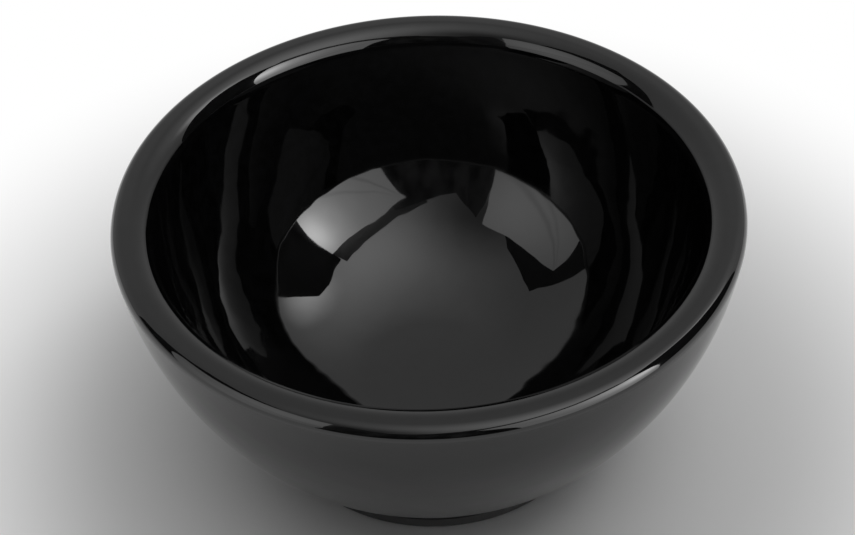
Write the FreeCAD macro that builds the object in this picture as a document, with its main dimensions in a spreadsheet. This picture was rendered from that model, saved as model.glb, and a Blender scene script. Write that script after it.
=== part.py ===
"""Double-walled melamine salad bowl: an inner bowl with the rim, an outer shell, two bonds and a foot ring.

Every piece is turned about Z. The origin is the centre of the face that the bowl stands on. Millimetres.
"""

import FreeCAD, Part
import math
import os

import Sketcher

SIZES = {
    # The food side. Its side arc, carried on down to the floor's level, ends toe_margin inside the outer shell's base
    "opening_diameter": 221.6,
    "bowl_depth": 108.5,
    "toe_margin": 2.1,
    "inside_corner_radius": 82.0,
    "inside_floor_radius": 400.0,
    "inner_wall": 4.0,
    # The rim and the bonded joint inside it
    "rim_drop": 11.0,
    "rim_top": 4.0,
    "rim_outer_round": 4.7,
    "rim_inner_round": 9.0,
    "rim_backing": 3.25,
    "bond_filler": 1.7,
    "tongue_wall": 3.2,
    "bond_line": 0.5,
    "bond_cap": 1.0,
    "skirt_wall": 4.0,
    # The outer shell. The radius of its outside is outside_extra more than that of the food side's arc
    "outer_wall": 4.0,
    "outside_extra": 8.02,
    "ledge_depth": 4.0,
    "ledge_slope": 4.0,
    # The joint between the two floors
    "floor_gap": 2.0,
    "boss_diameter": 56.0,
    "boss_drop": 0.6,
    "dam_wall": 2.0,
    "dam_clearance": 0.4,
    # The foot. Behind it the outside's arc, carried on, meets the base at foot_inset
    "foot_recess": 5.5,
    "foot_diameter": 150.0,
    "foot_inset": 7.4,
    "foot_width": 6.5,
    "foot_fillet": 1.5,
    "foot_round": 1.2,
    "key_depth": 3.5,
    "key_neck": 2.6,
    "key_tip": 3.4,
    "key_clearance": 0.1,
    # How far every cut runs past what it cuts
    "overrun": 1.0,
}

# The points of a line or arc that a constraint can hold, and the two fixed things it can hold them to, in the
# numbers that a sketch gives them
START, END, CENTRE = range(1, 4)
ORIGIN = -1
UPRIGHT_AXIS = -2


class Formula:
    """A number with the expression that gives it from the cells of the sheet, so each sum is written once."""

    def __init__(self, value, text):
        self.value = value
        self.text = text

    @staticmethod
    def of(item):
        return item if isinstance(item, Formula) else Formula(float(item), str(item))

    def join(self, sign, other, value):
        return Formula(value, f"({self.text} {sign} {other.text})")

    def __add__(self, other):
        other = Formula.of(other)
        return self.join("+", other, self.value + other.value)

    def __sub__(self, other):
        other = Formula.of(other)
        return self.join("-", other, self.value - other.value)

    def __mul__(self, other):
        other = Formula.of(other)
        return self.join("*", other, self.value * other.value)

    def __truediv__(self, other):
        other = Formula.of(other)
        return self.join("/", other, self.value / other.value)

    def root(self):
        return Formula(math.sqrt(self.value), f"sqrt({self.text})")


NOTHING = Formula(0.0, "0")


def fill_sheet(document):
    """Writes the sizes into a sheet and returns each as a formula that names its cell."""
    sheet = document.addObject("Spreadsheet::Sheet", "sizes")
    named = {}
    for row, (alias, value) in enumerate(SIZES.items(), start=1):
        sheet.set(f"A{row}", alias)
        sheet.set(f"B{row}", str(value))
        sheet.setAlias(f"B{row}", alias)
        named[alias] = Formula(value, f"sizes.{alias}")
    document.recompute()
    return named


class Section:
    """A sketch in one of its own body's planes. Each size that it is given is bound to the sheet."""

    def __init__(self, body, name, plane="XZ_Plane"):
        self.sketch = body.newObject("Sketcher::SketchObject", name)
        support = next(item for item in body.Origin.OriginFeatures if item.Role == plane)
        self.sketch.AttachmentSupport = [(support, "")]
        self.sketch.MapMode = "FlatFace"

    def constrain(self, *words):
        return self.sketch.addConstraint(Sketcher.Constraint(*words))

    def bind(self, index, formula):
        name = f"size_{index}"
        self.sketch.renameConstraint(index, name)
        self.sketch.setExpression(f"Constraints.{name}", formula.text)

    def line(self, first, last):
        ends = [FreeCAD.Vector(x, z, 0) for x, z in (first, last)]
        return self.sketch.addGeometry(Part.LineSegment(*ends), False)

    def arc(self, centre, radius, first_angle, last_angle, construction=False):
        circle = Part.Circle(FreeCAD.Vector(centre[0], centre[1], 0), FreeCAD.Vector(0, 0, 1), radius)
        return self.sketch.addGeometry(Part.ArcOfCircle(circle, first_angle, last_angle), construction)

    def circle(self, radius):
        circle = Part.Circle(FreeCAD.Vector(0, 0, 0), FreeCAD.Vector(0, 0, 1), radius.value)
        index = self.sketch.addGeometry(circle, False)
        self.constrain("Coincident", index, CENTRE, ORIGIN, START)
        self.set_radius(index, radius)

    def set_radius(self, index, radius):
        self.bind(self.constrain("Radius", index, radius.value), radius)

    def set_across(self, index, point, across):
        self.bind(self.constrain("DistanceX", ORIGIN, START, index, point, across.value), across)

    def set_up(self, index, point, up):
        self.bind(self.constrain("DistanceY", ORIGIN, START, index, point, up.value), up)

    def on_axis(self, index, point):
        self.constrain("PointOnObject", index, point, UPRIGHT_AXIS)

    def join(self, first, first_point, second, second_point):
        self.constrain("Coincident", first, first_point, second, second_point)

    def blend(self, first, first_point, second, second_point):
        self.constrain("Tangent", first, first_point, second, second_point)

    def polygon(self, corners):
        """Closed straight outline. A corner is a pair of formulas, or has None across where it is on the axis."""
        places = [(0.0 if across is None else across.value, up.value) for across, up in corners]
        lines = [self.line(first, last) for first, last in zip(places, places[1:] + places[:1])]
        for index, following in zip(lines, lines[1:] + lines[:1]):
            self.join(index, END, following, START)
        for index, (across, up) in zip(lines, corners):
            self.set_up(index, START, up)
            if across is None:
                self.on_axis(index, START)
            else:
                self.set_across(index, START, across)


def turn(body, name, section, kind="PartDesign::Revolution"):
    """Turns a section once round the axis, to add its solid or to cut it away."""
    before = body.Tip.Shape.Volume if body.Tip else 0.0
    feature = body.newObject(kind, name)
    feature.Profile = section.sketch
    feature.ReferenceAxis = (section.sketch, ["V_Axis"])
    feature.Angle = 360.0
    section.sketch.Document.recompute()
    check_change(feature, before, kind == "PartDesign::Revolution")
    return feature


def cut_round(body, name, section):
    return turn(body, name, section, "PartDesign::Groove")


def raise_up(body, name, section, bottom, height):
    """Pads a section from one level upwards."""
    before = body.Tip.Shape.Volume if body.Tip else 0.0
    section.sketch.setExpression("AttachmentOffset.Base.z", bottom.text)
    feature = body.newObject("PartDesign::Pad", name)
    feature.Profile = section.sketch
    feature.setExpression("Length", height.text)
    section.sketch.Document.recompute()
    check_change(feature, before, True)
    return feature


def round_edges(body, name, radius, *places):
    """Rounds the circular edges that have one of these radii and lie between its two heights."""
    base = body.Tip
    found = []
    for number, edge in enumerate(base.Shape.Edges, start=1):
        if edge.Degenerated or not isinstance(edge.Curve, Part.Circle):
            continue
        for ring, low, high in places:
            same_radius = math.isclose(edge.Curve.Radius, ring.value, rel_tol=1e-6)
            if same_radius and low.value < edge.Curve.Center.z < high.value:
                found.append(f"Edge{number}")
    if len(found) != len(places):
        raise RuntimeError(f"{name}: found {len(found)} edges to round, not {len(places)}")
    feature = body.newObject("PartDesign::Fillet", name)
    feature.Base = (base, found)
    feature.setExpression("Radius", radius.text)
    body.Document.recompute()
    return feature


def check_change(feature, before, adds):
    """Stops if a feature that should add or remove material didn't."""
    change = feature.Shape.Volume - before
    if (change > 0) != adds or math.isclose(feature.Shape.Volume, before, rel_tol=1e-9):
        raise RuntimeError(f"{feature.Name} changes the volume by {change:.1f} mm3")


document = FreeCAD.newDocument("salad_bowl")
sizes = fill_sheet(document)
overrun = sizes["overrun"]

# Levels above the face that the bowl stands on
base_level = sizes["foot_recess"]
shell_floor_level = base_level + sizes["outer_wall"]
bowl_underside_level = shell_floor_level + sizes["floor_gap"]
food_floor_level = bowl_underside_level + sizes["inner_wall"]
rim_level = food_floor_level + sizes["bowl_depth"]
seam_level = rim_level - sizes["rim_drop"]
channel_level = rim_level - sizes["rim_top"]
tongue_level = channel_level - sizes["bond_cap"]
boss_level = bowl_underside_level - sizes["boss_drop"]

# The foot
foot_outer = sizes["foot_diameter"] / 2
foot_inner = foot_outer - sizes["foot_width"]
key_middle = foot_outer - sizes["foot_width"] / 2
base_radius = foot_outer - sizes["foot_inset"]

# The side of the food space is an arc that leaves the rim straight down
opening_radius = sizes["opening_diameter"] / 2
side_lean = opening_radius - (base_radius - sizes["toe_margin"])
side_radius = (side_lean * side_lean + sizes["bowl_depth"] * sizes["bowl_depth"]) / (side_lean * 2)

# The rim is as wide as the walls and bonds in it. It starts from the back of the food wall at the seam, and is
# solid from there to the bond channel, behind its broad inner round
back_radius = side_radius + sizes["inner_wall"]
wall_back = opening_radius - side_radius + (back_radius * back_radius - sizes["rim_drop"] * sizes["rim_drop"]).root()
channel_inner = wall_back + sizes["rim_backing"]
tongue_inner = channel_inner + sizes["bond_filler"]
tongue_outer = tongue_inner + sizes["tongue_wall"]
channel_outer = tongue_outer + sizes["bond_line"]
bowl_radius = channel_outer + sizes["skirt_wall"]

# The outside is one arc from the rim's corner to the base's edge
outside_radius = side_radius + sizes["outside_extra"]

# The joint between the floors
boss_radius = sizes["boss_diameter"] / 2
dam_inner = boss_radius + sizes["dam_clearance"]
dam_outer = dam_inner + sizes["dam_wall"]
dam_level = bowl_underside_level - sizes["dam_clearance"]


def outside_centre():
    """Centre of the arc from the base's edge to the rim's outer corner, on the bowl's side of it."""
    across, up = bowl_radius.value - base_radius.value, rim_level.value - base_level.value
    chord = math.hypot(across, up)
    reach = math.sqrt(outside_radius.value**2 - chord**2 / 4)
    middle_across = (bowl_radius.value + base_radius.value) / 2
    middle_up = (rim_level.value + base_level.value) / 2
    return middle_across - reach * up / chord, middle_up + reach * across / chord


def angle_at(centre, radius, up):
    """The angle, right of the centre, at which a circle reaches a level."""
    return math.asin((up - centre[1]) / radius)


def draw_outside(section):
    """The whole outside as a construction arc that the real outlines follow. Returns its index and centre."""
    centre, radius = outside_centre(), outside_radius.value
    low = angle_at(centre, radius, base_level.value)
    high = angle_at(centre, radius, rim_level.value)
    whole = section.arc(centre, radius, low, high, True)
    section.set_across(whole, START, base_radius)
    section.set_up(whole, START, base_level)
    section.set_across(whole, END, bowl_radius)
    section.set_up(whole, END, rim_level)
    section.set_radius(whole, outside_radius)
    return whole, centre


def draw_food_side(section, behind, top):
    """The floor, corner and side arcs of the food space, or the same set back by a wall. Returns first and last."""
    wall = behind.value
    floor_radius, corner_radius = sizes["inside_floor_radius"], sizes["inside_corner_radius"]
    floor_centre = (0.0, food_floor_level.value + floor_radius.value)
    side_centre = (opening_radius.value - side_radius.value, rim_level.value)
    corner_centre = touching_centre(
        floor_centre, floor_radius.value - corner_radius.value, side_centre, side_radius.value - corner_radius.value
    )
    floor_end = math.atan2(corner_centre[1] - floor_centre[1], corner_centre[0] - floor_centre[0])
    corner_end = math.atan2(corner_centre[1] - side_centre[1], corner_centre[0] - side_centre[0])
    side_end = angle_at(side_centre, side_radius.value + wall, top.value)

    floor = section.arc(floor_centre, floor_radius.value + wall, -math.pi / 2, floor_end)
    corner = section.arc(corner_centre, corner_radius.value + wall, floor_end, corner_end)
    side = section.arc(side_centre, side_radius.value + wall, corner_end, side_end)
    section.on_axis(floor, CENTRE)
    section.on_axis(floor, START)
    section.set_up(floor, CENTRE, food_floor_level + floor_radius)
    section.set_radius(floor, floor_radius + behind)
    section.blend(floor, END, corner, START)
    section.set_radius(corner, corner_radius + behind)
    section.blend(corner, END, side, START)
    section.set_across(side, CENTRE, opening_radius - side_radius)
    section.set_up(side, CENTRE, rim_level)
    section.set_radius(side, side_radius + behind)
    section.set_up(side, END, top)
    return floor, side


def touching_centre(first, first_reach, second, second_reach):
    """The lower right meeting point of two circles, where an arc inside both has its centre."""
    across, up = second[0] - first[0], second[1] - first[1]
    apart = math.hypot(across, up)
    along = (first_reach**2 - second_reach**2 + apart**2) / (2 * apart)
    aside = math.sqrt(first_reach**2 - along**2)
    middle = (first[0] + along * across / apart, first[1] + along * up / apart)
    meetings = [
        (middle[0] + side * aside * up / apart, middle[1] - side * aside * across / apart) for side in (1, -1)
    ]
    return max(meetings)


def close_with(section, last, corners, first):
    """Carries the outline on from the end of one arc through the corners, back to the start of another."""
    end = section.sketch.getPoint(last, END)
    start = section.sketch.getPoint(first, START)
    places = [(end.x, end.y)]
    places += [(0.0 if across is None else across.value, up.value) for across, up in corners]
    places += [(start.x, start.y)]
    lines = [section.line(near, far) for near, far in zip(places, places[1:])]
    section.join(last, END, lines[0], START)
    for index, following in zip(lines, lines[1:]):
        section.join(index, END, following, START)
    section.join(lines[-1], END, first, START)
    for index, (across, up) in zip(lines, corners):
        section.set_up(index, END, up)
        if across is None:
            section.on_axis(index, END)
        else:
            section.set_across(index, END, across)


def make_inner_bowl():
    """The food-side moulding: bowl wall, rim, skirt, bond channel and floor boss."""
    body = document.addObject("PartDesign::Body", "inner_bowl")

    form = Section(body, "inner_form")
    whole, centre = draw_outside(form)
    floor, side = draw_food_side(form, sizes["inner_wall"], seam_level)
    low = angle_at(centre, outside_radius.value, seam_level.value)
    high = angle_at(centre, outside_radius.value, rim_level.value)
    skirt = form.arc(centre, outside_radius.value, low, high)
    form.join(skirt, CENTRE, whole, CENTRE)
    form.join(skirt, END, whole, END)
    form.set_up(skirt, START, seam_level)
    close_with(form, side, [], skirt)
    close_with(form, skirt, [(None, rim_level)], floor)
    turn(body, "inner_block", form)

    boss = Section(body, "boss_outline", "XY_Plane")
    boss.circle(boss_radius)
    raise_up(body, "floor_boss", boss, boss_level, seam_level - boss_level)

    food = Section(body, "food_space_outline")
    floor, side = draw_food_side(food, NOTHING, rim_level)
    top = rim_level + overrun
    close_with(food, side, [(opening_radius, top), (None, top)], floor)
    cut_round(body, "food_space", food)

    channel = Section(body, "channel_outline")
    channel.polygon(
        [
            (channel_inner, seam_level - overrun),
            (channel_outer, seam_level - overrun),
            (channel_outer, channel_level),
            (channel_inner, channel_level),
        ]
    )
    cut_round(body, "bond_channel", channel)
    rim_heights = rim_level - overrun, rim_level + overrun
    round_edges(body, "rim_outer_edge", sizes["rim_outer_round"], (bowl_radius, *rim_heights))
    round_edges(body, "rim_inner_edge", sizes["rim_inner_round"], (opening_radius, *rim_heights))
    return body


def make_outer_shell():
    """The outer moulding: curved wall, shoulder and tongue, floor with its dam, foot rim and dovetail key."""
    body = document.addObject("PartDesign::Body", "outer_shell")

    form = Section(body, "outer_form")
    whole, centre = draw_outside(form)
    low = -math.acos((foot_outer.value - centre[0]) / outside_radius.value)
    high = angle_at(centre, outside_radius.value, seam_level.value)
    side = form.arc(centre, outside_radius.value, low, high)
    form.join(side, CENTRE, whole, CENTRE)
    form.set_radius(side, outside_radius)
    form.set_across(side, START, foot_outer)
    form.set_up(side, END, seam_level)
    corners = [
        (tongue_outer, seam_level),
        (tongue_outer, tongue_level),
        (None, tongue_level),
        (None, base_level),
        (foot_outer, base_level),
    ]
    close_with(form, side, corners, side)
    turn(body, "outer_block", form)
    round_edges(body, "foot_blend", sizes["foot_fillet"], (foot_outer, base_level + overrun, seam_level))

    key = Section(body, "key_outline")
    draw_key(key, NOTHING)
    turn(body, "foot_key", key)

    hollow = Section(body, "hollow_outline")
    whole, centre = draw_outside(hollow)
    inside_radius = outside_radius - sizes["outer_wall"]
    ledge_level = seam_level - sizes["ledge_depth"]
    ledge_start = ledge_level - sizes["ledge_slope"]
    low = angle_at(centre, inside_radius.value, shell_floor_level.value)
    high = angle_at(centre, inside_radius.value, ledge_start.value)
    side = hollow.arc(centre, inside_radius.value, low, high)
    hollow.join(side, CENTRE, whole, CENTRE)
    hollow.set_radius(side, inside_radius)
    hollow.set_up(side, START, shell_floor_level)
    hollow.set_up(side, END, ledge_start)
    top = tongue_level + overrun
    corners = [
        (tongue_inner, ledge_level),
        (tongue_inner, top),
        (None, top),
        (None, shell_floor_level),
    ]
    close_with(hollow, side, corners, side)
    cut_round(body, "hollow", hollow)

    dam = Section(body, "dam_outline", "XY_Plane")
    dam.circle(dam_inner)
    dam.circle(dam_outer)
    raise_up(body, "bond_dam", dam, shell_floor_level - overrun, dam_level - shell_floor_level + overrun)
    return body


def draw_key(section, clearance):
    """The dovetail of the foot, or the groove for it with a clearance all round."""
    neck = sizes["key_neck"] / 2 + clearance
    tip = sizes["key_tip"] / 2 + clearance
    bottom = base_level - sizes["key_depth"] - clearance
    section.polygon(
        [
            (key_middle - tip, bottom),
            (key_middle + tip, bottom),
            (key_middle + neck, base_level),
            (key_middle + neck, base_level + overrun),
            (key_middle - neck, base_level + overrun),
            (key_middle - neck, base_level),
        ]
    )


def make_rim_bond():
    """The adhesive that fills the rim channel round the tongue."""
    body = document.addObject("PartDesign::Body", "rim_bond")
    ring = Section(body, "bond_outline")
    ring.polygon(
        [
            (channel_inner, seam_level),
            (tongue_inner, seam_level),
            (tongue_inner, tongue_level),
            (tongue_outer, tongue_level),
            (tongue_outer, seam_level),
            (channel_outer, seam_level),
            (channel_outer, channel_level),
            (channel_inner, channel_level),
        ]
    )
    turn(body, "bond_ring", ring)
    return body


def make_floor_bond():
    """The adhesive pad under the boss."""
    body = document.addObject("PartDesign::Body", "floor_bond")
    pad = Section(body, "pad_outline", "XY_Plane")
    pad.circle(boss_radius)
    raise_up(body, "bond_pad", pad, shell_floor_level, boss_level - shell_floor_level)
    return body


def make_foot_ring():
    """The elastomer ring that the bowl stands on, with the groove that grips the key."""
    body = document.addObject("PartDesign::Body", "foot_ring")
    ring = Section(body, "ring_outline")
    floor = ring.line((foot_inner.value, 0.0), (foot_outer.value, 0.0))
    outer = ring.line((foot_outer.value, 0.0), (foot_outer.value, base_level.value))
    top = ring.line((foot_outer.value, base_level.value), (foot_inner.value, base_level.value))
    inner = ring.line((foot_inner.value, base_level.value), (foot_inner.value, 0.0))
    for index, following in ((floor, outer), (outer, top), (top, inner), (inner, floor)):
        ring.join(index, END, following, START)
    ring.constrain("PointOnObject", floor, START, ORIGIN)
    ring.constrain("Horizontal", floor)
    ring.constrain("Vertical", outer)
    ring.constrain("Horizontal", top)
    ring.constrain("Vertical", inner)
    ring.set_across(floor, START, foot_inner)
    ring.set_across(floor, END, foot_outer)
    ring.set_up(top, START, base_level)
    turn(body, "ring_block", ring)

    groove = Section(body, "groove_outline")
    draw_key(groove, sizes["key_clearance"])
    cut_round(body, "key_groove", groove)
    heights = NOTHING - overrun, overrun
    round_edges(body, "foot_edges", sizes["foot_round"], (foot_outer, *heights), (foot_inner, *heights))
    return body


def check_objects():
    """Stops if anything in the document failed to build."""
    for item in document.Objects:
        if {"Invalid", "Error"} & set(item.State):
            raise RuntimeError(f"{item.Label} is in state {item.State}")


def export(pieces):
    """Writes one file for each piece, once all of them are sound."""
    for piece in pieces:
        shape = piece.Shape
        if shape.isNull() or not shape.isValid() or len(shape.Solids) != 1:
            raise RuntimeError(f"{piece.Label} is not one sound solid")
    os.makedirs("parts", exist_ok=True)
    for piece in pieces:
        piece.Shape.exportStep(f"parts/{piece.Label}.step")
        box = piece.Shape.optimalBoundingBox()
        print(f"{piece.Label}: {piece.Shape.Volume / 1000:.1f} cm3, {box.XLength:.2f} across, {box.ZMin:.2f} to {box.ZMax:.2f}")


pieces = [make_inner_bowl(), make_outer_shell(), make_rim_bond(), make_floor_bond(), make_foot_ring()]
document.recompute()
check_objects()
export(pieces)
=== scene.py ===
"""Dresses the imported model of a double-walled melamine salad bowl, and sets it on a studio floor.

Every piece is turned about Z and is in metres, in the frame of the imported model.
"""

import math

import bpy
import numpy as np
from bpy.props import FloatProperty, FloatVectorProperty, IntProperty, PointerProperty
from bpy.types import Operator, Panel, PropertyGroup
from mathutils import Matrix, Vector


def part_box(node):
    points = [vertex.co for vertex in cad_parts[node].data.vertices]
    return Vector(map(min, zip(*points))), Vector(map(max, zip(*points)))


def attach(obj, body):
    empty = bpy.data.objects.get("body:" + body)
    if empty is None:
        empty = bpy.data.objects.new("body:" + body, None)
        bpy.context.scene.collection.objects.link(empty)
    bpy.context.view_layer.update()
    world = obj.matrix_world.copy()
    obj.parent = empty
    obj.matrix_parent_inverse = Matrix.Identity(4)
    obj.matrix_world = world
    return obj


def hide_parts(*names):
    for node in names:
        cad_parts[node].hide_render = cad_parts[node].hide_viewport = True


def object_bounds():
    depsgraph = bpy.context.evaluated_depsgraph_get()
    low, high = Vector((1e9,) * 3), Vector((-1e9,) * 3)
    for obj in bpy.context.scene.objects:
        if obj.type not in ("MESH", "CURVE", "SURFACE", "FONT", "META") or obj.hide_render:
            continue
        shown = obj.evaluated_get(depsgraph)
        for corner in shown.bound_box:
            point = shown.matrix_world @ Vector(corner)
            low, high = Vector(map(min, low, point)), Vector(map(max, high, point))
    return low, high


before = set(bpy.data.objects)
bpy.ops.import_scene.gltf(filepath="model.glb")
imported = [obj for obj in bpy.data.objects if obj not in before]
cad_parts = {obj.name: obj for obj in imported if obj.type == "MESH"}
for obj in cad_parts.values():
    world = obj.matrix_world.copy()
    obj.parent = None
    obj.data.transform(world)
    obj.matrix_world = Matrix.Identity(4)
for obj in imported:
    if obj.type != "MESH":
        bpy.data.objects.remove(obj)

bl_info = {
    "name": "Melamine Salad Bowl",
    "version": (1, 0, 0),
    "blender": (4, 5, 0),
    "location": "3D View > Sidebar > Salad Bowl",
    "description": "Makes a double-walled melamine salad bowl and the studio that it stands in",
    "category": "Add Mesh",
}

ROOT = "root"
FLOOR_REACH = 7.0
FLOOR_GAP = 0.0001
LAMP_SQUASH = (1.0, 1.0, 0.6)
SHARP_FROM = math.radians(25)
WHITE = (1.0, 1.0, 1.0)
BLACK = (0.0, 0.0, 0.0)
FRAME_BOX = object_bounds()


def length(name, description, default):
    return FloatProperty(
        name=name,
        description=description,
        default=default,
        min=0.0,
        precision=5,
        subtype="DISTANCE",
        unit="LENGTH",
    )


def share(name, description, default):
    return FloatProperty(
        name=name, description=description, default=default, min=0.0, max=1.0, subtype="FACTOR"
    )


def colour(name, description, default):
    return FloatVectorProperty(
        name=name, description=description, default=default, min=0.0, max=1.0, size=3, subtype="COLOR"
    )


def brightness(name, description, default):
    return FloatProperty(name=name, description=description, default=default, min=0.0, subtype="NONE")


def angle(name, description, degrees):
    return FloatProperty(
        name=name, description=description, default=math.radians(degrees), subtype="ANGLE", unit="ROTATION"
    )


class BowlShape(PropertyGroup):
    """The sizes of the two mouldings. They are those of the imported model."""

    height: length("Height", "Top of the rim above the floor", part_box("inner_bowl")[1].z)
    depth: length("Depth", "Food floor below the top of the rim", 0.1085)
    opening_radius: length("Opening radius", "Food side at the rim, before its edge is rounded", 0.1108)
    rim_radius: length("Rim radius", "Outside at the rim, before its edge is rounded", 0.12706)
    base_radius: length("Base radius", "Outside arc where it would meet the base behind the foot", 0.0676)
    toe_margin: length("Toe margin", "Food side's arc inside the base radius, at its floor", 0.0021)
    outside_extra: length("Outside extra", "Outside arc's radius, past the food side's", 0.00802)
    corner_radius: length("Corner radius", "Curve between the food floor and the side", 0.082)
    floor_radius: length("Floor radius", "Crown of the food floor", 0.4)
    rim_outer_round: length("Outer rim round", "Round on the rim's outer edge", 0.0047)
    rim_inner_round: length("Inner rim round", "Round on the rim's inner edge", 0.009)
    wall: length("Wall", "Thickness of both mouldings", 0.004)
    seam_drop: length("Seam drop", "Seam below the top of the rim", 0.011)
    rim_top: length("Rim top", "Material over the bond channel", 0.004)
    rim_backing: length("Rim backing", "Solid behind the food wall, up to the bond channel", 0.00325)
    channel_width: length("Channel width", "Bond channel inside the rim", 0.0054)
    tongue_start: length("Tongue start", "From the channel's inner wall to the tongue", 0.0017)
    tongue_wall: length("Tongue wall", "Thickness of the tongue", 0.0032)
    bond_cap: length("Bond cap", "Bond between the tongue's tip and the channel", 0.001)
    ledge_depth: length("Ledge depth", "Foot of the tongue below the seam", 0.004)
    boss_radius: length("Boss radius", "Flat boss under the food floor", 0.028)
    boss_drop: length("Boss drop", "How far the boss stands down", 0.0006)
    dam_gap: length("Dam gap", "Room between the boss and the dam", 0.0004)
    dam_wall: length("Dam wall", "Thickness of the dam round the floor bond", 0.002)
    steps_round: IntProperty(name="Steps round", description="Faces round each piece", default=384, min=48)


class FootShape(PropertyGroup):
    """The sizes of the foot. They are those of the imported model."""

    radius: length("Radius", "Outside of the foot ring", 0.075)
    width: length("Width", "Across the ring's section", 0.0065)
    height: length("Height", "Top of the ring above the floor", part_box("foot_ring")[1].z)
    edge_round: length("Edge round", "Round on the ring's lower edges", 0.0012)
    blend: length("Blend", "Hollow between the foot and the body", 0.0015)
    key_neck: length("Key neck", "Width of the dovetail where it leaves the body", 0.0026)
    key_tip: length("Key tip", "Width of the dovetail's tip", 0.0034)
    key_depth: length("Key depth", "How far the dovetail reaches down", 0.0035)
    key_clearance: length("Key clearance", "Room round the dovetail", 0.0001)


class Finish(PropertyGroup):
    """The colours and gloss of the bowl."""

    melamine: colour("Melamine", "Body colour of the moulded melamine", (0.0006, 0.0006, 0.0006))
    melamine_pale: colour("Melamine, pale", "Body colour where the resin is lighter", (0.0012, 0.0012, 0.0013))
    gloss: share("Gloss", "Roughness of the polished melamine", 0.025)
    smear: share("Smear", "Added roughness where the polish is clouded", 0.035)
    waviness: length("Waviness", "Height of the slow waves that the mould leaves", 0.00035)
    dust: colour("Dust", "Colour of the fine specks that lie on the melamine", (0.16, 0.16, 0.165))
    dust_share: share("Dust share", "Share of the places that hold a speck", 0.10)
    rubber: colour("Rubber", "Colour of the foot ring", (0.016, 0.016, 0.016))
    rubber_worn: colour("Rubber, worn", "Colour of the foot ring where it is scuffed", (0.03, 0.03, 0.03))
    bond: colour("Bond", "Colour of the cured adhesive", (0.045, 0.045, 0.05))


class Studio(PropertyGroup):
    """The floor, the lamps, the cards and the camera."""

    floor: colour("Floor", "Colour of the floor", (0.8, 0.8, 0.8))
    shadow_edge: length("Shadow edge", "Where the floor starts to turn white, from the bowl's axis", 0.145)
    white_edge: length("White edge", "Where the floor is white, from the bowl's axis", 0.315)
    room: brightness("Room", "Brightness of the room's walls", 0.62)
    ceiling_glow: brightness("Ceiling glow", "Brightness added where the ceiling is lit by the right lamp", 1.92)
    wall_glow: brightness("Wall glow", "Brightness added where the far wall is lit by the right lamp", 2.95)
    shade: brightness("Shade", "Brightness lost above and behind the camera", 0.65)
    top_shade: brightness("Top shade", "Brightness lost straight above", 0.3)
    low_shade: brightness("Low shade", "Brightness lost at the foot of the walls", 0.35)
    white_rise: share("White rise", "Sine of the height up to which the room's foot mirrors white", 0.05)
    left_lamp: brightness("Left lamp", "Brightness that the soft lamp on the left adds at its spot", 1.48)
    left_lamp_edge: brightness("Left lamp, edge", "Brightness of the same lamp away from its spot", 0.35)
    right_lamp: brightness("Right lamp", "Brightness that the soft lamp on the right adds at its spot", 9.8)
    right_lamp_edge: brightness("Right lamp, edge", "Brightness of the same lamp away from its spot", 1.4)
    felt: colour("Felt", "Colour of the black cards", (0.07, 0.07, 0.07))
    curtain: colour("Curtain", "Colour of the dark curtain behind the camera", (0.2, 0.2, 0.2))
    housing: colour("Housing", "Colour of the lamps' grey housings", (0.33, 0.33, 0.33))
    camera_back: length("Camera back", "Camera in front of the bowl's axis", 0.4318)
    camera_up: length("Camera up", "Camera above the floor", 0.4941)
    camera_pitch: angle("Camera pitch", "How far the camera looks down", 43.76)
    camera_yaw: angle("Camera yaw", "How far the camera looks to the right", -0.155)
    camera_roll: angle("Camera roll", "How far the camera leans", 2.315)
    lens: FloatProperty(name="Lens", description="Focal length", default=59.68, min=1.0, unit="CAMERA")


# Profiles


def arc(centre, radius, first, last, count):
    """Points of an arc: centre plus radius times the cosine and sine of evenly spaced angles."""
    turns = np.linspace(first, last, count)
    return np.stack([centre[0] + radius * np.cos(turns), centre[1] + radius * np.sin(turns)], axis=1)


def line(first, last, count=2):
    """Points of a straight run: the first point plus even shares of the way to the last."""
    way = np.linspace(0.0, 1.0, count)[:, None]
    return np.array(first) * (1.0 - way) + np.array(last) * way


def run_on(*runs):
    """Runs joined end to end. A point that repeats the one before it is left out."""
    points = np.concatenate(runs)
    steps = np.hypot(*np.diff(points, axis=0).T)
    return points[np.concatenate([[True], steps > 1e-7])]


def meeting_centre(first, first_reach, second, second_reach):
    """The right-hand point at given distances from two centres, where a circle that touches both has its centre."""
    across, up = second[0] - first[0], second[1] - first[1]
    apart = math.hypot(across, up)
    along = (first_reach**2 - second_reach**2 + apart**2) / (2 * apart)
    aside = math.sqrt(first_reach**2 - along**2)
    middle = (first[0] + along * across / apart, first[1] + along * up / apart)
    sides = [(middle[0] + s * aside * up / apart, middle[1] - s * aside * across / apart) for s in (1, -1)]
    return max(sides)


def heading(centre, point):
    return math.atan2(point[1] - centre[1], point[0] - centre[0])


def level_heading(centre, radius, up):
    """The angle, right of the centre, at which a circle reaches a level."""
    return math.asin((up - centre[1]) / radius)


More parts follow.
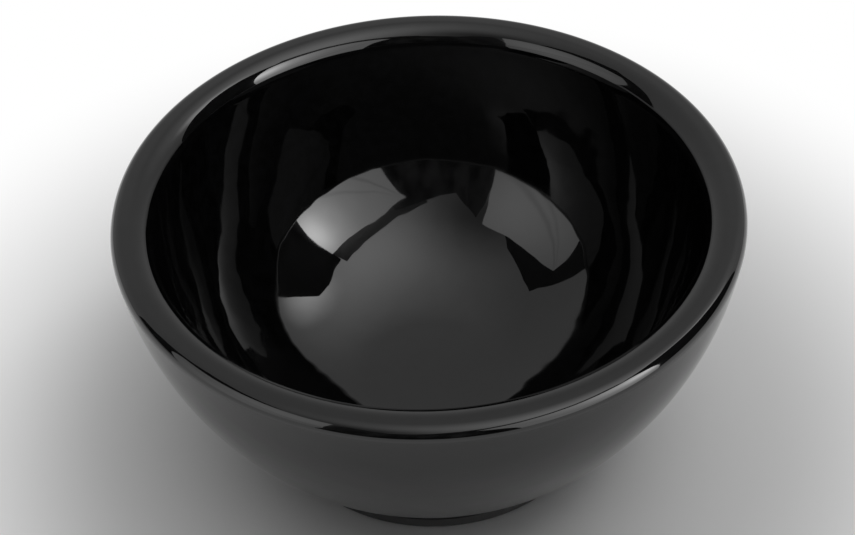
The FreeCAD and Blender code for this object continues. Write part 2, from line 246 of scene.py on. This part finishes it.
class Section:
    """The centres, radii and levels that the mouldings' profiles share."""

    def __init__(self, bowl, foot):
        self.rim = bowl.height
        self.base = foot.height
        self.food_floor = bowl.height - bowl.depth
        self.bowl_underside = self.food_floor - bowl.wall
        self.seam = bowl.height - bowl.seam_drop
        self.channel_top = bowl.height - bowl.rim_top
        self.tongue_tip = self.channel_top - bowl.bond_cap
        self.shell_floor = self.base + bowl.wall
        lean = bowl.opening_radius - (bowl.base_radius - bowl.toe_margin)
        self.side_radius = (lean**2 + bowl.depth**2) / (2 * lean)
        self.side_centre = (bowl.opening_radius - self.side_radius, bowl.height)
        self.floor_centre = (0.0, self.food_floor + bowl.floor_radius)
        self.corner_centre = meeting_centre(
            self.floor_centre,
            bowl.floor_radius - bowl.corner_radius,
            self.side_centre,
            self.side_radius - bowl.corner_radius,
        )
        self.outside_radius = self.side_radius + bowl.outside_extra
        self.outside_centre = self.centre_through((bowl.base_radius, self.base), (bowl.rim_radius, self.rim))
        back = self.side_radius + bowl.wall
        self.channel_inner = self.side_centre[0] + math.sqrt(back**2 - bowl.seam_drop**2) + bowl.rim_backing
        self.channel_outer = self.channel_inner + bowl.channel_width
        self.tongue_inner = self.channel_inner + bowl.tongue_start
        self.tongue_outer = self.tongue_inner + bowl.tongue_wall

    def centre_through(self, low, high):
        """Centre of the outside's arc through two points: their middle, moved square to their chord."""
        across, up = high[0] - low[0], high[1] - low[1]
        chord = math.hypot(across, up)
        reach = math.sqrt(self.outside_radius**2 - chord**2 / 4)
        return (high[0] + low[0]) / 2 - reach * up / chord, (high[1] + low[1]) / 2 + reach * across / chord

    def food_side(self, bowl, behind, stop, counts):
        """Floor, corner and side arcs from the axis up to an angle on the side, each set back by a wall."""
        floor_end = heading(self.floor_centre, self.corner_centre)
        corner_end = heading(self.side_centre, self.corner_centre)
        return run_on(
            arc(self.floor_centre, bowl.floor_radius + behind, -math.pi / 2, floor_end, counts[0]),
            arc(self.corner_centre, bowl.corner_radius + behind, floor_end, corner_end, counts[1]),
            arc(self.side_centre, self.side_radius + behind, corner_end, stop, counts[2]),
        )


def food_bowl_profile(bowl, section):
    """The closed outline of the food-side moulding, from the axis over the rim and back under the floor."""
    inner_round, outer_round = bowl.rim_inner_round, bowl.rim_outer_round
    reach = section.side_radius + inner_round
    inner_centre = (section.side_centre[0] + math.sqrt(reach**2 - inner_round**2), section.rim - inner_round)
    reach = section.outside_radius - outer_round
    rise = section.outside_centre[1] - (section.rim - outer_round)
    outer_centre = (section.outside_centre[0] + math.sqrt(reach**2 - rise**2), section.rim - outer_round)

    side_stop = heading(section.side_centre, inner_centre)
    skirt_start = heading(section.outside_centre, outer_centre)
    skirt_stop = level_heading(section.outside_centre, section.outside_radius, section.seam)
    back_stop = level_heading(section.side_centre, section.side_radius + bowl.wall, section.seam)
    back = section.food_side(bowl, bowl.wall, back_stop, (14, 18, 24))[::-1]
    back = back[back[:, 0] >= bowl.boss_radius]
    drop = math.sqrt((bowl.floor_radius + bowl.wall) ** 2 - bowl.boss_radius**2)
    boss_top = section.floor_centre[1] - drop
    boss_low = section.bowl_underside - bowl.boss_drop
    return run_on(
        section.food_side(bowl, 0.0, side_stop, (24, 44, 48)),
        arc(inner_centre, inner_round, heading(inner_centre, section.side_centre), math.pi / 2, 20),
        arc(outer_centre, outer_round, math.pi / 2, skirt_start, 22),
        arc(section.outside_centre, section.outside_radius, skirt_start, skirt_stop, 8),
        line((section.channel_outer, section.seam), (section.channel_outer, section.channel_top)),
        line((section.channel_inner, section.channel_top), (section.channel_inner, section.seam)),
        back,
        line((bowl.boss_radius, boss_top), (bowl.boss_radius, boss_low)),
        line((bowl.boss_radius, boss_low), (0.0, boss_low), 4),
    )


def outer_shell_profile(bowl, foot, section):
    """The closed outline of the outer moulding, from the axis under the base, up the outside and back."""
    centre, radius = section.outside_centre, section.outside_radius
    across = foot.radius + foot.blend
    down = math.sqrt((radius + foot.blend) ** 2 - (across - centre[0]) ** 2)
    blend_centre = (across, centre[1] - down)
    seam_stop = level_heading(centre, radius, section.seam)
    inside = radius - bowl.wall
    ledge = section.seam - bowl.ledge_depth
    middle = foot.radius - foot.width / 2
    dam_inner = bowl.boss_radius + bowl.dam_gap
    dam_outer = dam_inner + bowl.dam_wall
    dam_top = section.bowl_underside - bowl.dam_gap
    return run_on(
        line((0.0, section.base), (middle - foot.key_neck / 2, section.base), 8),
        dovetail(middle, section.base, foot.key_neck, foot.key_tip, foot.key_depth),
        line((foot.radius, section.base), (foot.radius, blend_centre[1]), 4),
        arc(blend_centre, foot.blend, math.pi, heading(blend_centre, centre), 10),
        arc(centre, radius, heading(centre, blend_centre), seam_stop, 96),
        line((section.tongue_outer, section.seam), (section.tongue_outer, section.tongue_tip)),
        line((section.tongue_inner, section.tongue_tip), (section.tongue_inner, ledge)),
        arc(
            centre,
            inside,
            level_heading(centre, inside, ledge - bowl.ledge_depth),
            level_heading(centre, inside, section.shell_floor),
            32,
        ),
        line((dam_outer, section.shell_floor), (dam_outer, dam_top)),
        line((dam_inner, dam_top), (dam_inner, section.shell_floor)),
        line((dam_inner, section.shell_floor), (0.0, section.shell_floor), 4),
    )


def dovetail(middle, top, neck, tip, depth):
    """The four corners of the dovetail, from its inner side to its outer side."""
    corners = [(-neck / 2, 0.0), (-tip / 2, -depth), (tip / 2, -depth), (neck / 2, 0.0)]
    return np.array([(middle + across, top + up) for across, up in corners])


def foot_ring_profile(foot):
    """The closed outline of the foot ring: flat underside, rounded edges, straight sides and groove."""
    inner, outer, edge = foot.radius - foot.width, foot.radius, foot.edge_round
    spare = 2 * foot.key_clearance
    groove = dovetail(
        foot.radius - foot.width / 2,
        foot.height,
        foot.key_neck + spare,
        foot.key_tip + spare,
        foot.key_depth + foot.key_clearance,
    )
    return run_on(
        line((inner + edge, 0.0), (outer - edge, 0.0), 4),
        arc((outer - edge, edge), edge, -math.pi / 2, 0.0, 9),
        line((outer, edge), (outer, foot.height), 4),
        groove[::-1],
        line((inner, foot.height), (inner, edge), 4),
        arc((inner + edge, edge), edge, math.pi, math.pi * 1.5, 9)[:-1],
    )


# Meshes


def snug_share():
    """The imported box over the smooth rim's width. Every radius is drawn in by it, to stay in that box."""
    low, high = FRAME_BOX
    reach = min(high[0], high[1], -low[0], -low[1])
    bowl, foot = bpy.context.scene.bowl_shape, bpy.context.scene.foot_shape
    profile = food_bowl_profile(bowl, Section(bowl, foot))
    return reach / profile[:, 0].max()


def turned(name, profile, steps):
    """A profile turned about Z: across times the cosine and sine of the turn, and up as it is.

    A profile that starts and ends on the axis closes in one point at each end. Any other closes on itself.
    """
    poles = profile[0, 0] < 1e-7 and profile[-1, 0] < 1e-7
    rings = profile[1:-1] if poles else profile
    turns = np.linspace(0.0, 2 * math.pi, steps, endpoint=False)
    across = (rings[:, 0] * snug_share())[:, None]
    ring_points = np.stack(
        [across * np.cos(turns), across * np.sin(turns), np.repeat(rings[:, 1:], steps, axis=1)], axis=2
    )
    points = ring_points.reshape(-1, 3)

    rows = np.arange(len(rings) if not poles else len(rings) - 1)
    following = (rows + 1) % len(rings)
    near = np.arange(steps)
    far = (near + 1) % steps
    corners = [
        rows[:, None] * steps + near,
        rows[:, None] * steps + far,
        following[:, None] * steps + far,
        following[:, None] * steps + near,
    ]
    quads = np.stack(corners, axis=2).reshape(-1, 4)
    loops = quads.ravel()
    sizes = np.full(len(quads), 4)
    if poles:
        first, last = len(points), len(points) + 1
        points = np.concatenate([points, [[0.0, 0.0, profile[0, 1]], [0.0, 0.0, profile[-1, 1]]]])
        start_fan = np.stack([np.full(steps, first), far, near], axis=1)
        end_row = (len(rings) - 1) * steps
        end_fan = np.stack([np.full(steps, last), end_row + near, end_row + far], axis=1)
        loops = np.concatenate([loops, start_fan.ravel(), end_fan.ravel()])
        sizes = np.concatenate([sizes, np.full(2 * steps, 3)])
    return make_mesh(name, points, loops, sizes)


def make_mesh(name, points, loops, sizes):
    """A mesh from whole arrays: the points, each face's corners in a row, and each face's corner count."""
    mesh = bpy.data.meshes.new(name)
    mesh.vertices.add(len(points))
    mesh.vertices.foreach_set("co", points.ravel())
    mesh.loops.add(len(loops))
    mesh.loops.foreach_set("vertex_index", loops)
    starts = np.concatenate([[0], np.cumsum(sizes)[:-1]])
    mesh.polygons.add(len(sizes))
    mesh.polygons.foreach_set("loop_start", starts)
    mesh.update(calc_edges=True)
    mesh.validate()
    mesh.shade_smooth()
    mesh.set_sharp_from_angle(angle=SHARP_FROM)
    item = bpy.data.objects.new(name, mesh)
    bpy.context.scene.collection.objects.link(item)
    return item


def face_outwards(item):
    """Turns the faces over if the volume that they enclose comes out negative."""
    mesh = item.data
    mesh.calc_loop_triangles()
    corners = np.empty(len(mesh.loop_triangles) * 3, np.int64)
    mesh.loop_triangles.foreach_get("vertices", corners)
    points = np.empty(len(mesh.vertices) * 3)
    mesh.vertices.foreach_get("co", points)
    a, b, c = np.moveaxis(points.reshape(-1, 3)[corners.reshape(-1, 3)], 1, 0)
    if np.einsum("ij,ij->", a, np.cross(b, c)) < 0:
        mesh.flip_normals()
    return item


# Materials


class Wire:
    """One output socket of a node tree, with arithmetic that adds the nodes for it."""

    def __init__(self, tree, socket):
        self.tree = tree
        self.socket = socket

    def node(self, kind, output=0, settings=None, **inputs):
        """Any other node: its settings, its inputs by name or place, and the output that is wanted."""
        item = self.tree.nodes.new(kind)
        for name, value in (settings or {}).items():
            setattr(item, name, value)
        for name, value in inputs.items():
            key = int(name[1:]) if name[0] == "i" and name[1:].isdigit() else name.replace("_", " ")
            plug(self.tree, item.inputs[key], value)
        return Wire(self.tree, item.outputs[output])

    def math(self, operation, first, second=0.0):
        return self.node("ShaderNodeMath", settings={"operation": operation}, i0=first, i1=second)

    def __add__(self, other):
        return self.math("ADD", self, other)

    def __sub__(self, other):
        return self.math("SUBTRACT", self, other)

    def __mul__(self, other):
        return self.math("MULTIPLY", self, other)

    def __truediv__(self, other):
        return self.math("DIVIDE", self, other)

    def __lt__(self, other):
        return self.math("LESS_THAN", self, other)

    def __gt__(self, other):
        return self.math("GREATER_THAN", self, other)

    def __radd__(self, other):
        return self.math("ADD", other, self)

    def __rsub__(self, other):
        return self.math("SUBTRACT", other, self)

    def __rmul__(self, other):
        return self.math("MULTIPLY", other, self)

    def __rtruediv__(self, other):
        return self.math("DIVIDE", other, self)

    def part(self, axis):
        return self.node("ShaderNodeSeparateXYZ", axis, Vector=self)

    def noise(self, scale, detail=2.0, roughness=0.5):
        return self.node("ShaderNodeTexNoise", Vector=self, Scale=scale, Detail=detail, Roughness=roughness)

    def ray_is(self, kind):
        """One for rays of this kind, zero for others."""
        return self.node("ShaderNodeLightPath", f"Is {kind} Ray")

    def ramp(self, low, high):
        """Zero below low, one above high and smooth between them."""
        smooth = {"interpolation_type": "SMOOTHSTEP"}
        return self.node("ShaderNodeMapRange", settings=smooth, Value=self, From_Min=low, From_Max=high)

    def blend(self, first, second):
        """One colour where this is zero, the other where it is one."""
        return self.node("ShaderNodeMix", 2, {"data_type": "RGBA"}, i0=self, i6=first, i7=second)

    def grey(self):
        """The same number in all three channels of a colour."""
        return self.node("ShaderNodeCombineColor", Red=self, Green=self, Blue=self)


def plug(tree, socket, value):
    if isinstance(value, Wire):
        tree.links.new(value.socket, socket)
    elif socket.type == "RGBA" and len(value) == 3:
        socket.default_value = (*value, 1.0)
    else:
        socket.default_value = value


def new_material(name, **constants):
    """A material, its tree, its shader with the unchanging numbers set, and the place on a piece as a wire."""
    material = bpy.data.materials.new(name)
    material.use_nodes = True
    tree = material.node_tree
    shader = tree.nodes["Principled BSDF"]
    for key, value in constants.items():
        plug(tree, shader.inputs[key.replace("_", " ")], value)
    place = Wire(tree, tree.nodes.new("ShaderNodeTexCoord").outputs["Object"])
    return material, tree, shader, place


def bump(place, height, distance, strength=1.0):
    return place.node("ShaderNodeBump", Height=height, Distance=distance, Strength=strength)


def specks(place, per_metre, radius, share_kept):
    """One where a fine speck lies: near the middle of those cells whose random number is small."""
    cells = {"Vector": place, "Scale": per_metre}
    distance = place.node("ShaderNodeTexVoronoi", "Distance", **cells)
    lot = place.node("ShaderNodeTexVoronoi", "Color", **cells).part(0)
    size = place.node("ShaderNodeTexVoronoi", "Color", **cells).part(1) * (radius * per_metre)
    return (distance < size) * (lot < share_kept)


def melamine_material(finish):
    """Polished black melamine: clouded polish, slow mould waves and a little dust."""
    material, tree, shader, place = new_material("Polished melamine", IOR=1.5)
    cloud = place.noise(34.0, 4.0, 0.55).ramp(0.42, 0.68)
    dust = specks(place, 75.0, 0.00028, finish.dust_share)
    resin = place.noise(210.0, 3.0).ramp(0.35, 0.65).blend(finish.melamine, finish.melamine_pale)
    plug(tree, shader.inputs["Base Color"], dust.blend(resin, finish.dust))
    plug(tree, shader.inputs["Roughness"], cloud * finish.smear + finish.gloss + dust * 0.5)
    waves = place.noise(32.0, 2.0, 0.4)
    plug(tree, shader.inputs["Normal"], bump(place, waves, finish.waviness))
    return material


def rubber_material(finish):
    """Matt black elastomer with a fine grain and paler scuffs."""
    material, tree, shader, place = new_material("Foot elastomer", IOR=1.45, Specular_IOR_Level=0.35)
    scuff = place.noise(160.0, 5.0, 0.6).ramp(0.52, 0.72)
    grain = place.noise(2600.0, 2.0, 0.6)
    plug(tree, shader.inputs["Base Color"], scuff.blend(finish.rubber, finish.rubber_worn))
    plug(tree, shader.inputs["Roughness"], scuff * 0.12 + 0.62)
    plug(tree, shader.inputs["Normal"], bump(place, grain, 0.00008))
    return material


def bond_material(finish):
    """Cured adhesive: dull, slightly uneven and a little paler where it holds air."""
    material, tree, shader, place = new_material("Cured adhesive", IOR=1.48)
    flow = place.noise(90.0, 4.0).ramp(0.3, 0.75)
    air = specks(place, 320.0, 0.0009, 0.3)
    paler = tuple(value * 1.6 for value in finish.bond)
    plug(tree, shader.inputs["Base Color"], flow.blend(finish.bond, paler))
    plug(tree, shader.inputs["Roughness"], flow * 0.2 + 0.45)
    plug(tree, shader.inputs["Normal"], bump(place, flow - air, 0.0002))
    return material


def floor_material(studio):
    """Plain pale floor. Away from the bowl it is white when seen straight, in gloss or through glass."""
    material, tree, shader, place = new_material("Studio floor", Specular_IOR_Level=0.0)
    tone = place.noise(1.3, 3.0)
    darker = tuple(value * 0.97 for value in studio.floor)
    plug(tree, shader.inputs["Base Color"], tone.blend(darker, studio.floor))
    plug(tree, shader.inputs["Roughness"], tone * 0.1 + 0.85)
    away = place.node("ShaderNodeVectorMath", 1, {"operation": "LENGTH"}, i0=place)
    seen = place.ray_is("Camera") + place.ray_is("Glossy") + place.ray_is("Transmission")
    white = place.node("ShaderNodeEmission", Strength=1.0)
    floor = Wire(tree, shader.outputs["BSDF"])
    share_white = away.ramp(studio.shadow_edge, studio.white_edge) * seen
    mixed = place.node("ShaderNodeMixShader", i0=share_white, i1=floor, i2=white)
    tree.links.new(mixed.socket, tree.nodes["Material Output"].inputs["Surface"])
    return material


def lamp_material(name, lights, spot, reach, pivot, creases):
    """A lamp's cloth face, darker along two creases that fan out from a pivot at the angles given.

    Its light is edge + bright / (1 + (distance / reach)^2), with the distance from its bright spot. Heights
    count for less in that distance, so the spot is taller than it is wide.
    """
    bright, edge = lights
    spot = tuple(np.multiply(spot, LAMP_SQUASH))
    material, tree, shader, place = new_material(
        name, Base_Color=BLACK, Specular_IOR_Level=0.0, Emission_Strength=1.0
    )
    squashed = place.node("ShaderNodeMapping", Vector=place, Scale=LAMP_SQUASH)
    away = place.node("ShaderNodeVectorMath", 1, {"operation": "DISTANCE"}, i0=squashed, i1=spot)
    fade = (away / reach) * (away / reach) + 1.0
    bearing, height = bearing_and_height(place)
    pivot_bearing, pivot_height = np.radians(pivot)
    fan = place.math("ARCTAN2", height - pivot_height, bearing - pivot_bearing)
    first, second = np.radians(creases)
    near_first = fan.math("ABSOLUTE", fan - first).ramp(0.0, 0.07)
    near_second = fan.math("ABSOLUTE", fan - second).ramp(0.0, 0.05)
    light = (bright / fade + edge) * (near_first * 0.2 + near_second * 0.14 + 0.66)
    plug(tree, shader.inputs["Emission Color"], light.grey())
    return material


def bearing_and_height(place):
    """Where a place lies, seen from the bowl: the angle of across over back, and of up over distance."""
    span = place.node("ShaderNodeVectorMath", 1, {"operation": "LENGTH"}, i0=place)
    rise = place.part(2) / span
    return place.math("ARCTAN2", place.part(0), place.part(1)), place.math("ARCSINE", rise)


def card_material(name, tone, dark_share=0.2, stretch=(6.0, 6.0, 6.0)):
    """Matt cloth with a random unevenness of tone. Drawn out tall, its darker streaks are painted shade of hanging
    folds on the flat card.
    """
    material, tree, shader, place = new_material(name, Specular_IOR_Level=0.0)
    drawn = place.node("ShaderNodeMapping", Vector=place, Scale=stretch)
    # Random mottle in the tone; where it is drawn out tall, as on the curtain, it is painted shade of hanging
    # folds.
    mottle_and_fold_shade = drawn.noise(1.0, 3.0).ramp(0.3, 0.7)
    darkest = tuple(value * (1.0 - dark_share) for value in tone)
    plug(tree, shader.inputs["Base Color"], mottle_and_fold_shade.blend(darkest, tone))
    plug(tree, shader.inputs["Roughness"], mottle_and_fold_shade * 0.1 + 0.85)
    return material


def dress(item, material):
    item.data.materials.clear()
    item.data.materials.append(material)


# Stage


def toward(bearing, height):
    """Unit ways from the bowl, in degrees: bearings clockwise from straight behind it, heights above level."""
    turn, rise = np.radians(bearing), np.radians(height)
    return np.stack([np.sin(turn) * np.cos(rise), np.cos(turn) * np.cos(rise), np.sin(rise)], axis=-1)


def card(name, material, facing, distance, outline):
    """A flat card square to a way, its corners given by their bearings and heights seen from the bowl.

    Each corner is its own way times the distance over the share of that way that lies along the facing.
    """
    ways = toward(*np.array(outline, float).T)
    points = ways * (distance / (ways @ toward(*facing)))[:, None]
    item = make_mesh(name, points, np.arange(len(points)), np.array([len(points)]))
    item.visible_camera = False
    dress(item, material)
    return item


# Operators


class BOWL_OT_food_bowl(Operator):
    """Make the food-side moulding with the rim"""

    bl_idname = "salad_bowl.food_bowl"
    bl_label = "Food Bowl"

    def execute(self, context):
        bowl, foot = context.scene.bowl_shape, context.scene.foot_shape
        profile = food_bowl_profile(bowl, Section(bowl, foot))
        item = face_outwards(turned("food_bowl", profile, bowl.steps_round))
        dress(item, melamine_material(context.scene.bowl_finish))
        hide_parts("inner_bowl")
        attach(item, ROOT)
        return {"FINISHED"}


class BOWL_OT_outer_body(Operator):
    """Make the outer moulding with the foot rim and its dovetail"""

    bl_idname = "salad_bowl.outer_body"
    bl_label = "Outer Body"

    def execute(self, context):
        bowl, foot = context.scene.bowl_shape, context.scene.foot_shape
        profile = outer_shell_profile(bowl, foot, Section(bowl, foot))
        item = face_outwards(turned("outer_body", profile, bowl.steps_round))
        dress(item, melamine_material(context.scene.bowl_finish))
        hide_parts("outer_shell")
        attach(item, ROOT)
        return {"FINISHED"}


class BOWL_OT_foot(Operator):
    """Make the non-slip ring that the bowl stands on"""

    bl_idname = "salad_bowl.foot"
    bl_label = "Foot Ring"

    def execute(self, context):
        bowl, foot = context.scene.bowl_shape, context.scene.foot_shape
        item = face_outwards(turned("non_slip_ring", foot_ring_profile(foot), bowl.steps_round))
        dress(item, rubber_material(context.scene.bowl_finish))
        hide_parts("foot_ring")
        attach(item, ROOT)
        return {"FINISHED"}


class BOWL_OT_bonds(Operator):
    """Give the two bonds inside the bowl their finish"""

    bl_idname = "salad_bowl.bonds"
    bl_label = "Bonds"

    def execute(self, context):
        material = bond_material(context.scene.bowl_finish)
        for node in ("rim_bond", "floor_bond"):
            dress(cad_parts[node], material)
        return {"FINISHED"}


class BOWL_OT_stage(Operator):
    """Make the floor, the room, the lamps, the cards and the camera"""

    bl_idname = "salad_bowl.stage"
    bl_label = "Studio"

    def execute(self, context):
        studio = context.scene.bowl_studio
        self.make_floor(studio)
        self.make_room(context.scene, studio)
        self.make_lamps(studio)
        self.make_cards(studio)
        self.make_camera(context.scene, studio)
        context.scene.view_settings.view_transform = "Standard"
        return {"FINISHED"}

    def make_floor(self, studio):
        """A square with its corners at equal distances from the bowl, just under the ring."""
        square = np.array([(-1, -1), (1, -1), (1, 1), (-1, 1)]) * FLOOR_REACH
        corners = np.column_stack([square, np.full(4, -FLOOR_GAP)])
        floor = make_mesh("floor", corners, np.arange(4), np.array([4]))
        dress(floor, floor_material(studio))

    def make_room(self, scene, studio):
        """An even room with soft glows and shades: each fades with the angle from its bearing and height.

        Seen straight it is white, like the floor. In gloss and through glass it is white near the horizon.
        """
        world = bpy.data.worlds.new("Studio room")
        world.use_nodes = True
        tree = world.node_tree
        way = Wire(tree, tree.nodes.new("ShaderNodeTexCoord").outputs["Generated"])
        light = studio.room + self.glow(way, 116.0, 61.5, 62.0) * studio.ceiling_glow
        light = light + self.glow(way, 74.0, 44.0, 18.0) * studio.wall_glow
        light = light - self.glow(way, -161.0, 56.0, 37.5) * studio.shade
        light = light - self.glow(way, 0.0, 90.0, 32.0) * studio.top_shade
        light = light - (1.0 - way.part(2).ramp(-0.05, 0.2)) * studio.low_shade
        near_horizon = 1.0 - way.part(2).ramp(0.0, studio.white_rise)
        seen = way.ray_is("Camera") + (way.ray_is("Glossy") + way.ray_is("Transmission")) * near_horizon
        background = seen.blend(light.grey(), WHITE)
        plug(tree, tree.nodes["Background"].inputs["Color"], background)
        scene.world = world

    def glow(self, way, bearing, height, reach):
        """One in the direction given by a bearing and a height, fading to zero at an angle from it."""
        middle = tuple(toward(bearing, height))
        closeness = way.node("ShaderNodeVectorMath", 1, {"operation": "DOT_PRODUCT"}, i0=way, i1=middle)
        apart = closeness.math("ARCCOSINE", closeness)
        return 1.0 - (apart / math.radians(reach)).ramp(0.0, 1.0)

    def make_lamps(self, studio):
        spot = toward(-128.0, 35.0) * 2.0
        lights = (studio.left_lamp, studio.left_lamp_edge)
        cloth = lamp_material("Left lamp", lights, spot, 1.2, (-80, 46), (-155, -147))
        outline = [(-146.5, 4), (-99, 4), (-88.7, 28.5), (-81.3, 45), (-140.2, 53.7), (-144, 38.1)]
        self.keep_off_floor(card("left_lamp", cloth, (-116, 30), 2.0, outline))
        spot = toward(107.0, 35.0) * 2.1
        lights = (studio.right_lamp, studio.right_lamp_edge)
        cloth = lamp_material("Right lamp", lights, spot, 0.36, (168, 42), (-139, -154))
        outline = [(110.5, 4), (156, 4), (159.7, 27.5), (166.5, 40.7)]
        outline += [(143, 49.8), (120, 51.2), (102.9, 50.2), (106.1, 33.3)]
        self.keep_off_floor(card("right_lamp", cloth, (134, 28), 2.0, outline))

    def keep_off_floor(self, lamp):
        spared = bpy.data.collections.new(lamp.name + "_spares")
        spared.objects.link(bpy.data.objects["floor"])
        spared.collection_objects[0].light_linking.link_state = "EXCLUDE"
        lamp.light_linking.receiver_collection = spared

    def make_cards(self, studio):
        felt = card_material("Black felt", studio.felt)
        housing = card_material("Grey housing", studio.housing)
        # The curtain's tall darker streaks are painted shade of hanging folds on a flat card.
        curtain = card_material("Dark curtain", studio.curtain, 0.75, (3.6, 3.6, 0.25))
        outline = [(70, 4), (112, 4), (101.5, 55), (91.2, 55.7), (78.8, 55.6), (69.5, 51.6), (68.4, 31.8)]
        card("right_card", felt, (88, 30), 2.2, outline)
        outline = [(-122, 10), (-78, 10), (-76, 29.9), (-72.2, 43.3), (-69.7, 52.5)]
        outline += [(-64.6, 57.3), (-101.7, 59.2), (-111.4, 58.3), (-121, 54.5)]
        card("left_card", felt, (-92, 40), 2.6, outline)
        outline = [(156, 0), (216, 0), (214.3, 51.7), (195.3, 39.8)]
        outline += [(187.6, 41.5), (180, 43.8), (157.7, 47.2)]
        card("curtain", curtain, (186, 20), 2.1, outline)
        outline = [(102, 20), (178, 20), (180, 45.2), (160, 51.2), (140, 56.5), (120, 58.2), (102.6, 58.1)]
        card("right_housing", housing, (138, 35), 2.4, outline)

    def make_camera(self, scene, studio):
        """Looks along its heading, pitched down, then leans about that line."""
        data = bpy.data.cameras.new("camera")
        data.sensor_width = 36.0
        data.lens = studio.lens
        camera = bpy.data.objects.new("camera", data)
        look = Matrix.Rotation(-studio.camera_yaw, 4, "Z")
        look = look @ Matrix.Rotation(math.pi / 2 - studio.camera_pitch, 4, "X")
        look = look @ Matrix.Rotation(-studio.camera_roll, 4, "Z")
        camera.matrix_world = Matrix.Translation((0.0, -studio.camera_back, studio.camera_up)) @ look
        scene.collection.objects.link(camera)
        scene.camera = camera


OPERATORS = (BOWL_OT_food_bowl, BOWL_OT_outer_body, BOWL_OT_foot, BOWL_OT_bonds, BOWL_OT_stage)
GROUPS = {"bowl_shape": BowlShape, "foot_shape": FootShape, "bowl_finish": Finish, "bowl_studio": Studio}


class BOWL_PT_panel(Panel):
    """Lists the bowl's pieces, sizes and finishes"""

    bl_label = "Salad Bowl"
    bl_space_type = "VIEW_3D"
    bl_region_type = "UI"
    bl_category = "Salad Bowl"

    def draw(self, context):
        for item in OPERATORS:
            self.layout.operator(item.bl_idname)
        for name, group in GROUPS.items():
            box = self.layout.box()
            box.label(text=group.__name__)
            for key in group.__annotations__:
                box.prop(getattr(context.scene, name), key)


CLASSES = (*GROUPS.values(), *OPERATORS, BOWL_PT_panel)


def register():
    for item in CLASSES:
        bpy.utils.register_class(item)
    for name, group in GROUPS.items():
        setattr(bpy.types.Scene, name, PointerProperty(type=group))


def unregister():
    for name in GROUPS:
        delattr(bpy.types.Scene, name)
    for item in reversed(CLASSES):
        bpy.utils.unregister_class(item)


def main():
    register()
    bpy.ops.salad_bowl.food_bowl()
    bpy.ops.salad_bowl.outer_body()
    bpy.ops.salad_bowl.foot()
    bpy.ops.salad_bowl.bonds()
    bpy.ops.salad_bowl.stage()


if __name__ == "__main__":
    main()
